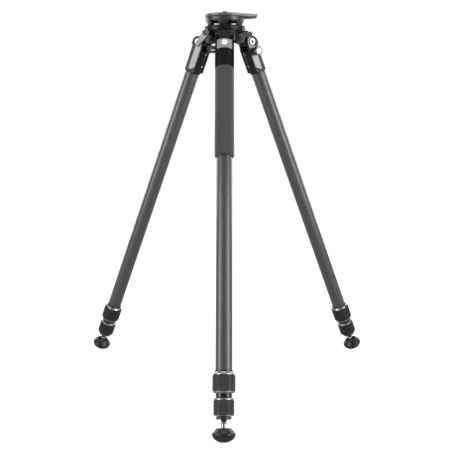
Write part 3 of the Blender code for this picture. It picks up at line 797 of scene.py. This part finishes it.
def make_leg(leg, shared):
    here = leg_frame(leg)

    def on_leg(name, mesh, look, body, node=None, place=here, bevel=0.0):
        node = node and f"{leg}_{node}"
        add(f"{leg}_{name}", shared[mesh], look, f"{leg}_{body}", place, node, bevel)

    on_leg("shoulder_casting", "shoulder", "casting", "leg", "shoulder", bevel=0.35)
    on_leg("side_panel_a", "panel", "panel", "leg")
    on_leg("side_panel_b", "panel", "panel", "leg", place=here @ Matrix.Scale(-1, 4, (1, 0, 0)))
    head_place = here @ moved(turn_y=90)
    nut_place = here @ moved(turn_y=-90)
    on_leg("bolt_head", "bolt", "chrome", "leg", "hinge_bolt", head_place)
    on_leg("bolt_nut", "bolt", "chrome", "leg", place=nut_place)
    # Black hexagons in the bolt heads' recesses: painted shade in their sockets.
    on_leg("bolt_socket_shade", "socket", "ring", "leg", place=head_place)
    on_leg("nut_socket_shade", "socket", "ring", "leg", place=nut_place)
    for label, height in zip(("upper", "lower"), SCREW_HEIGHTS):
        place = here @ moved((0, BARREL_RADIUS, up_leg(height)), turn_x=-90)
        on_leg(f"{label}_screw_head", "screw", "chrome", "leg", f"{label}_screw", place)
    on_leg("upper_carbon", "upper_tube", "upper_carbon", "leg", "upper_tube")
    on_leg("tube_band", "band", "ring", "leg")
    on_leg("upper_ring", "collar", "silver", "leg", "upper_collar")
    on_leg("tab_plate", "tab", "gunmetal", "lock_tab", "lock_tab", bevel=0.3)
    on_leg("tab_pawl", "pawl", "casting", "lock_tab", bevel=0.3)
    disc_place = here @ moved((0, -TAB_OUTER, DISC_HEIGHT), turn_x=90)
    on_leg("tab_disc", "badge", "badge", "lock_tab", place=disc_place)
    on_leg("upper_grip", "upper_grip", "grip", "upper_lock", "upper_lock")
    on_leg("upper_lock_ring", "lock_ring", "silver", "upper_lock")
    on_leg("middle_carbon", "middle_tube", "middle_carbon", "middle_section", "middle_tube")
    on_leg("collar_neck", "neck", "ring", "middle_section")
    on_leg("middle_ring", "lower_collar", "silver", "middle_section", "lower_collar")
    on_leg("lower_grip", "lower_grip", "grip", "lower_lock", "lower_lock")
    on_leg("lower_lock_ring", "lower_ring", "silver", "lower_lock")
    on_leg("lower_carbon", "lower_tube", "lower_carbon", "lower_section", "lower_tube")
    on_leg("foot_cap", "end_cap", "plastic", "lower_section", "end_cap")
    on_leg("foot_cone", "cone", "plastic", "lower_section")
    on_leg("foot_neck", "stud", "chrome", "lower_section", "foot_stud")
    on_leg("foot_pad", "foot", "foot", "lower_section", "rubber_foot")


def make_leg_extras():
    """The foam sleeve on the front leg and the side knob on the right one."""
    def give(angle, radius, height):
        """Foam is never quite round or straight: it gives a little along its length."""
        wave = 0.16 * math.sin(height / 21.0) + 0.12 * math.sin(2 * angle + height / 37.0)
        return radius + (wave - 0.15 if radius > 17.5 else 0.0)

    sleeve = [
        (15.4, 694.4), (17.6, 694.4), (18.55, 693.2), (18.8, 690.0), (18.8, 512.0), (18.55, 509.6),
        (17.6, 508.4), (15.4, 508.4),
    ]
    mesh = turned("sleeve", divided(rounded(leg_profile(sleeve), 0.9), 3.0), 96, 0, give)
    piece = add("front_sleeve", mesh, "foam", "front_leg", leg_frame("front"), "foam_sleeve")
    face = HALF_WIDTH - 0.5

    def off_the_face(profile):
        return [(radius, face + out) for radius, out in profile]

    body = off_the_face([(0, 11.8), (7.9, 11.8), (8.3, 11.4), (8.3, 1.4), (7.6, 0.8), (0, 0.8)])
    rim = off_the_face([(0, 17.3), (9.4, 17.3), (9.4, 12.5), (9.0, 12.1), (0, 12.1)])
    dome = off_the_face([(0, 19.9), (5.6, 19.7), (8.3, 18.8), (9.1, 17.6), (0, 17.6)])
    place = leg_frame("right") @ moved(KNOB_PLACE, turn_y=-90)

    def fluted(angle, radius, height):
        low_side = abs(math.sin(angle * 12)) * 0.35
        return radius - (low_side if 8.0 < radius and face + 2 < height < face + 11 else 0.0)

    grip = turned("knob_grip", divided(rounded(body, 0.4), 1.0), 96, 0, fluted)
    add("knob_grip", grip, "plastic", "side_knob", place, "side_knob")
    # The cap's rim wears the darker silver: painted shade round its bright face.
    add("knob_cap", turned("knob_cap", rim, 96, 0.6), "rim", "side_knob", place, "side_knob_cap")
    add("knob_cap_face", turned("knob_cap_face", dome, 96, 0.4), "silver", "side_knob", place)


# ---- the centre

def lug_outline():
    """A crown lug seen along its hinge, as distance out and up from the hinge: stepped on top."""
    return [
        (-30.0, 22.6), (-4.6, 22.6), (-4.6, 20.6), (2.4, 20.6), (2.4, 17.0), (7.6, 17.0),
        (7.6, 13.8), (11.2, 13.8), (12.5, 12.4), (12.5, 6.9), (10.4, 5.9),
        *arc(11.0, 20, -150, 20),
        (-30.0, -0.6),
    ]


def port_place(angle=0.0):
    """The frame of a boss, the first of which faces +X: its Z runs out along the boss."""
    first = Matrix.Translation((0, PORT_OFFSET, PORT_HEIGHT)) @ turning(90, "Y")
    return turning(angle, "Z") @ first


def sphere_points(radius, angles):
    """Points on a circle about the ball's centre, at angles up from straight below."""
    around = [math.radians(angle) for angle in angles]
    return [(radius * math.sin(a), BALL_CENTRE - radius * math.cos(a)) for a in around]


def dress_crown(mesh):
    """Marks the crown's faces: 0 black casting, 1 the lugs' machined sides, 2 the bosses' bare ends."""
    for face in mesh.polygons:
        spot = face.center / MM
        for azimuth in LEG_ANGLES:
            along = turning(azimuth, "Z")
            out = along @ Vector((1, 0, 0))
            across = along @ Vector((0, 1, 0))
            on_side = abs(abs(spot.dot(across)) - LUG_HALF_WIDTH) < 0.1
            if on_side and abs(face.normal.dot(across)) > 0.98 and spot.dot(out) > CROWN_BARREL:
                face.material_index = 1
        for angle in PORT_ANGLES:
            local = port_place(angle).inverted() @ spot
            if local.z > CROWN_BARREL and 4.1 < math.hypot(local.x, local.y) < 5.5:
                face.material_index = 2


def crown_mesh():
    """The casting in the middle: a flanged bowl seat with three lugs and three side bosses."""
    under = sphere_points(CLAMP_SPHERE, (15.78, 19.0, 22.0, 25.0, 28.5, 31.5, 34.5))
    inside = sphere_points(BALL_RADIUS + 1.0, (51.0, 45.0, 39.0, 33.0, 27.0, 23.0, 19.37))
    profile = [
        *under, (29.6, BARREL_BOTTOM), (CROWN_BARREL, BARREL_BOTTOM), (CROWN_BARREL, FLANGE_BOTTOM),
        (FLANGE_RADIUS, FLANGE_BOTTOM), (FLANGE_RADIUS, 738.4), (41.5, 738.7), (41.5, 739.9),
        (FLANGE_RADIUS, 740.2), (FLANGE_RADIUS, 742.0), (41.5, 742.3), (41.5, 743.5), (42.0, 743.8),
        (42.0, 745.2), (41.4, FLANGE_TOP), (SEAT_OUTER + GAP, FLANGE_TOP),
        (SEAT_OUTER + GAP, SEAT_BOTTOM - GAP), *inside,
    ]
    bowl = turned("bowl", profile, 120, 0)
    added = []
    removed = []
    for azimuth in LEG_ANGLES:
        turn = turning(azimuth + 90, "Z")
        outline = [(-HINGE_RADIUS - out, HINGE_HEIGHT + up) for out, up in lug_outline()]
        added.append((extruded("lug", outline, -LUG_HALF_WIDTH, LUG_HALF_WIDTH, "X"), turn))
        hinge = Matrix.Translation((0, -HINGE_RADIUS, HINGE_HEIGHT)) @ SIDEWAYS
        removed.append((drill("lug_bore", PIN_BORE, 30, -30, 32), turn @ hinge))
        front = -HINGE_RADIUS - 14
        back = -HINGE_RADIUS - 12.1
        for ridge in range(4):
            low = HINGE_HEIGHT + 8.3 + ridge * 1.35
            cut = [(front, low), (back, low), (back, low + 0.5), (front, low + 0.5)]
            removed.append((extruded("ridge", cut, -11.2, 11.2, "X"), turn))
    for angle in PORT_ANGLES:
        port = port_place(angle)
        has_lever = angle == LEVER_PORT
        end = LEVER_BASE if has_lever else PORT_END
        hole_radius, depth = (LEVER_BORE, 8.0) if has_lever else (4.0, 3.7)
        boss = [(0, end), (4.8, end), (5.3, end - 0.5), (5.3, 29), (0, 29)]
        added.append((turned("boss", boss, 48, 0), port))
        removed.append((drill("port", hole_radius, end + 5, end - depth, 40), port))
    clear = [
        (0, 760), (SEAT_OUTER + GAP, 760), (SEAT_OUTER + GAP, SEAT_BOTTOM - GAP), *inside,
        (13.6, 700), (0, 700),
    ]
    cup_space = [(0, 727.0), *under[1:], (29.6, 700), (0, 700)]
    removed.append(turned("ball_space", clear, 120, 0))
    removed.append(turned("cup_space", cup_space, 120, 0))
    mesh = combined("crown", bowl, added, removed)
    dress_crown(mesh)
    return mesh


def half_ball_mesh():
    """The windowed half-ball that the platform stands on."""
    def on_sphere(radius, heights):
        return [(math.sqrt(radius ** 2 - (BALL_CENTRE - h) ** 2), h) for h in heights]

    floor_top = BALL_FLOOR + 4.0
    bore = ROD_RADIUS + GAP
    levels = (759, 755.5, 751.5, 748, 745)
    rising = (BALL_FLOOR, 735, 737.5, 740, 742.5, *reversed(levels), BALL_TOP)
    outside = on_sphere(BALL_RADIUS, rising)
    inside = on_sphere(BALL_RADIUS - BALL_WALL, (BALL_TOP, *levels, 742, 739, floor_top))
    boss = [(10.0, floor_top), (10.0, floor_top + 4.0), (bore, floor_top + 4.0), (bore, BALL_FLOOR)]
    shell = turned("shell", outside + inside + boss, 120, 0)
    half = 10.5
    low, high = 745.9, 756.4
    corner = 3.0
    outline = [(-half, low), (half, low), *arc(corner, 0, 90, 8, (half - corner, high - corner)),
               *arc(corner, 90, 180, 8, (corner - half, high - corner))]
    turns = [turning(WINDOW_TURN + 90 + step, "Z") for step in (0, 60, 120)]
    cutters = [(extruded("window", outline, -50, 50, "Y"), turn) for turn in turns]
    return combined("half_ball_shell", shell, removed=cutters)


def platform_outline():
    """The teardrop plate from above: a disc whose sides run on to a blunt nose at +X."""
    corner = 6.0
    nose_half = 12.4
    disc = arc(PLATE_RADIUS, 55, 305, 90)
    lower = arc(corner, -62, 0, 10, (NOSE_REACH - corner, -nose_half + corner))
    upper = arc(corner, 0, 62, 10, (NOSE_REACH - corner, nose_half - corner))
    return disc + lower + upper


def inset_outline(points, distance):
    """Moves each point of a counter-clockwise outline inwards, along the middle of its two edges."""
    made = []
    for index, point in enumerate(points):
        here = Vector(point)
        first = (here - Vector(points[index - 1])).normalized()
        second = (Vector(points[(index + 1) % len(points)]) - here).normalized()
        bisector = Vector((-first.y - second.y, first.x + second.x)).normalized()
        spread = max(0.3, bisector.dot(Vector((-first.y, first.x))))
        made.append(tuple(here + bisector * distance / spread))
    return made


def platform_mesh():
    outline = platform_outline()
    rings = [
        (2.6, PLATE_BOTTOM), (2.2, PLATE_BOTTOM + 0.05), (0.15, PLATE_BOTTOM + 2.1),
        (0.0, PLATE_BOTTOM + 2.4), (0.0, 767.0), (0.45, 767.25), (0.45, 767.75), (0.0, 768.0),
        (0.0, PLATE_TOP - 0.9), (0.25, PLATE_TOP - 0.35), (0.9, PLATE_TOP),
    ]
    bm = bmesh.new()
    loops = []
    for inset, height in rings:
        loops.append([bm.verts.new((x, y, height)) for x, y in inset_outline(outline, inset)])
    count = len(outline)
    for lower, upper in zip(loops, loops[1:]):
        for index in range(count):
            following = (index + 1) % count
            bm.faces.new((lower[index], lower[following], upper[following], upper[index]))
    bm.faces.new(loops[-1])
    bm.faces.new(list(reversed(loops[0])))
    plate = finished(bm, "plate")
    hole = drill("hole", SCREW_RADIUS + GAP, 780, 750, 64)
    pocket = drill("pocket", 7.6, 780, 765.4, 64)
    groove = turned("groove", [(33.0, 775), (34.2, 775), (34.2, 769.3), (33.0, 769.3)], 120, 0)
    inner = turned("inner", [(11.0, 775), (12.0, 775), (12.0, 769.4), (11.0, 769.4)], 96, 0)
    removed = [hole, (pocket, Matrix.Translation((LEVEL_X, 0, 0))), groove, inner]
    return combined("platform_plate", plate, removed=removed)


def camera_screw_mesh():
    """The 3/8 inch screw: a washer head under the plate and a real thread above it."""
    pitch = 1.5875
    depth = 0.75
    head = [
        (0, SCREW_TOP), (3.5, SCREW_TOP), (SCREW_RADIUS, SCREW_TOP - 1.0), (SCREW_RADIUS, 763.1),
        (12.0, 763.1), (12.0, 757.6), (11.4, 757.0), (0, 757.0),
    ]

    def thread(angle, radius, height):
        if height < 766 or radius < 3.0:
            return radius
        turn = (height / pitch - angle / (2 * math.pi)) % 1.0
        return min(radius, SCREW_RADIUS - depth * (1 - abs(turn - 0.5) * 2))

    return turned("camera_screw_thread", divided(head, 0.2), 72, 0, thread)


def lever_outline():
    return arc(4.6, -84, 84, 20, (29.4, 0)) + arc(7.6, 84, 276, 40)


def handle_mesh():
    """The clamp handle under the crown: a slotted bar on a round hub."""
    top = 706.7
    bottom = 692.3
    corner = 6.0
    end = corner - 37.0
    outline = [
        (7.0, bottom), (7.0, top), *arc(corner, 90, 180, 10, (end, top - corner)),
        *arc(corner, 180, 270, 10, (end, bottom + corner)),
    ]
    arm = extruded("arm", outline, -5.5, 5.5, "Y")
    hub = [(0, 709.0), (9.0, 709.0), (10.0, 708.0), (10.0, 691.6), (9.0, 690.6), (0, 690.6)]
    slot = [(-33.0, 697.3), (-12.0, 697.3), (-12.0, 699.5), (-33.0, 699.5)]
    bore = drill("bore", ROD_RADIUS + GAP, 720, 694.4, 40)
    removed = [extruded("slot", slot, -10, 10, "Y"), bore]
    return combined("handle", arm, added=[turned("hub", hub, 72, 0)], removed=removed)


def make_centre():
    here = centre_frame()
    head = "levelling_head"
    crown_looks = ("casting", "machined", "boss")
    add("crown_casting", crown_mesh(), crown_looks, "crown", here, "crown", 0.25)
    seat = [(34.75, SEAT_TOP), (31.45, SEAT_BOTTOM), (SEAT_OUTER, SEAT_BOTTOM), (SEAT_OUTER, SEAT_TOP)]
    add("bowl_seat", turned("bowl_seat", seat, 120), "nylon", "seat_ring", here, "seat_ring")
    add("ball_shell", half_ball_mesh(), "ball", head, here, "half_ball", 0.5)
    add("top_plate", platform_mesh(), "plate", head, here, "platform", 0.25)
    add("camera_stud", camera_screw_mesh(), "silver", "camera_screw", here, "camera_screw")
    make_level(here @ moved((LEVEL_X, 0, 0)), head)
    rod = [(0, 740.6), (ROD_RADIUS, 740.6), (ROD_RADIUS, 694.8), (0, 694.8)]
    add("tie_rod_bar", turned("tie_rod_bar", rod, 48), "rod", head, here, "tie_rod")
    dish = sphere_points(CLAMP_SPHERE + 0.4, (22.4, 20, 18, 15.5, 13, 11, 9, 7, 4.95))
    cup = [(4.35, 711.4), (16.0, 711.4), (19.2, 717.0), *dish]
    add("clamp_cup_body", turned("clamp_cup_body", cup, 96, 0.3), "plastic", head, here, "clamp_cup")
    add("handle_bar", handle_mesh(), "grey", "clamp_handle", here, "clamp_handle", 0.6)
    boss_end = (LEVER_BASE + GAP, PORT_OFFSET, PORT_HEIGHT)
    port = here @ moved(turn_z=LEVER_PORT) @ moved(boss_end, turn_y=90)
    arm = extruded("lever_arm", lever_outline(), 0, 6.6)
    cutters = [drill("lever_socket", 5.3, 20, 3.4, 48), drill("lever_hole", LEVER_BORE, 20, -5, 40)]
    lever = combined("lever", arm, removed=cutters)
    add("lever_body", lever, "grey", "side_lever", port @ moved(turn_z=LEVER_TURN), "side_lever", 0.7)
    screw = [
        (0, 4.8), (2.2, 4.8), (2.2, 6.1), (3.9, 6.1), (4.6, 5.2), (4.6, 3.7), (3.0, 3.7),
        (3.0, -7.6), (0, -7.6),
    ]
    screw_mesh = turned("lever_screw", screw, 48, 0.2)
    add("lever_screw", screw_mesh, "plastic", "side_lever", port, "side_lever_screw")


def make_level(here, body):
    """The round bubble level: a black rim, green fluid, a target ring, the bubble and a clear dome."""
    rim = [(7.2, 768.0), (7.2, 765.8), (6.0, 765.8), (6.0, 768.6), (6.7, 768.7)]
    fluid = [(0, 767.4), (5.9, 767.3), (5.9, 765.9), (0, 765.9)]
    target = [(2.9, 767.65), (3.3, 767.65), (3.3, 767.42), (2.9, 767.42)]
    bubble = [(0, 767.95), (1.2, 767.85), (1.9, 767.65), (2.0, 767.45), (0, 767.42)]
    dome = [
        (0, 769.3), (3.0, 769.2), (5.0, 768.8), (5.95, 768.2), (5.95, 767.45), (5.5, 767.6),
        (3.0, 768.2), (0, 768.35),
    ]
    add("level_rim", turned("level_rim", rim, 64, 0.15), "ring", body, here, "bubble_level")
    for name, profile, look, steps, corner in (
        ("level_liquid", fluid, "fluid", 64, 0.1),
        ("level_target", target, "ring", 64, 0.05),
        ("level_bubble", bubble, "dome", 48, 0.1),
        ("level_dome", dome, "dome", 64, 0.1),
    ):
        add(name, turned(name, profile, steps, corner), look, body, here)


# ---------------------------------------------------------------- surroundings

FILL_LIGHT = 0.2
FLOOR_GLOW = 0.93
FLOOR_HEIGHT = -0.0006


def make_floor():
    """A plain pale floor: near white as the camera sees it, and greyer as the object reflects it."""
    bm = bmesh.new()
    bmesh.ops.create_grid(bm, x_segments=2, y_segments=2, size=14.0)
    mesh = bpy.data.meshes.new("floor")
    bm.to_mesh(mesh)
    bm.free()
    look = Look("floor", (0.5, 0.5, 0.5), 0.9)
    seen = look.node("LightPath").outputs["Is Camera Ray"]
    look.colour(look.mix(seen, (0.5, 0.5, 0.5), (0.3, 0.3, 0.3)))
    look.put(look.shader.inputs["Emission Color"], (1.0, 1.0, 1.0, 1.0))
    look.put(look.shader.inputs["Emission Strength"], look.math("MULTIPLY", seen, FLOOR_GLOW))
    mesh.materials.append(look.material)
    floor = bpy.data.objects.new("floor", mesh)
    bpy.context.scene.collection.objects.link(floor)
    floor.location.z = FLOOR_HEIGHT


def make_light(name, place, target, size, power):
    data = bpy.data.lights.new(name, "AREA")
    data.shape = "RECTANGLE"
    data.size, data.size_y = size
    data.energy = power
    light = bpy.data.objects.new(name, data)
    bpy.context.scene.collection.objects.link(light)
    light.location = place
    light.rotation_euler = (Vector(target) - Vector(place)).to_track_quat("-Z", "Y").to_euler()


def make_lights():
    target = (0.0, 0.05, 0.45)
    make_light("left_softbox", (-1.9, -1.05, 0.75), target, (1.2, 1.9), 42)
    make_light("right_softbox", (1.9, -1.05, 0.75), target, (1.3, 1.9), 50)
    make_light("back_left", (-1.5, 1.7, 1.0), target, (0.6, 1.6), 14)
    make_light("back_right", (1.5, 1.7, 1.0), target, (0.6, 1.6), 14)
    make_light("top_softbox", (0.0, 0.0, 2.6), target, (1.6, 1.6), 16)


def make_world():
    """White surroundings as the camera sees them, and a weaker, even light on the object."""
    world = bpy.data.worlds.new("studio")
    bpy.context.scene.world = world
    world.use_nodes = True
    tree = world.node_tree
    tree.nodes.clear()

    def background(strength):
        made = tree.nodes.new("ShaderNodeBackground")
        made.inputs["Strength"].default_value = strength
        made.inputs["Color"].default_value = (1, 1, 1, 1)
        return made.outputs[0]

    path = tree.nodes.new("ShaderNodeLightPath")
    either = tree.nodes.new("ShaderNodeMixShader")
    output = tree.nodes.new("ShaderNodeOutputWorld")
    tree.links.new(path.outputs["Is Camera Ray"], either.inputs[0])
    tree.links.new(background(FILL_LIGHT), either.inputs[1])
    tree.links.new(background(1.0), either.inputs[2])
    tree.links.new(either.outputs[0], output.inputs[0])


def make_camera():
    """The view: from in front, a little right of the middle, 56 cm up, looking down about seven degrees."""
    data = bpy.data.cameras.new("view")
    data.sensor_width = 36.0
    data.lens = 58.39
    data.shift_y = -0.043
    camera = bpy.data.objects.new("view", data)
    bpy.context.scene.collection.objects.link(camera)
    right = Vector((0.999963, 0.008147, -0.002621))
    up = Vector((0.001609, 0.121864, 0.992545))
    turn = Matrix((right, up, right.cross(up))).transposed().to_4x4()
    camera.matrix_world = Matrix.Translation((0.01774, -1.48319, 0.55859)) @ turn
    data.clip_start, data.clip_end = 0.05, 60.0
    bpy.context.scene.camera = camera


def main():
    make_camera()
    make_world()
    make_lights()
    make_floor()
    shared = leg_meshes()
    for leg in LEGS:
        make_leg(leg, shared)
    make_leg_extras()
    make_centre()
    bpy.context.scene.view_settings.view_transform = "Standard"
    bpy.context.view_layer.update()


main()
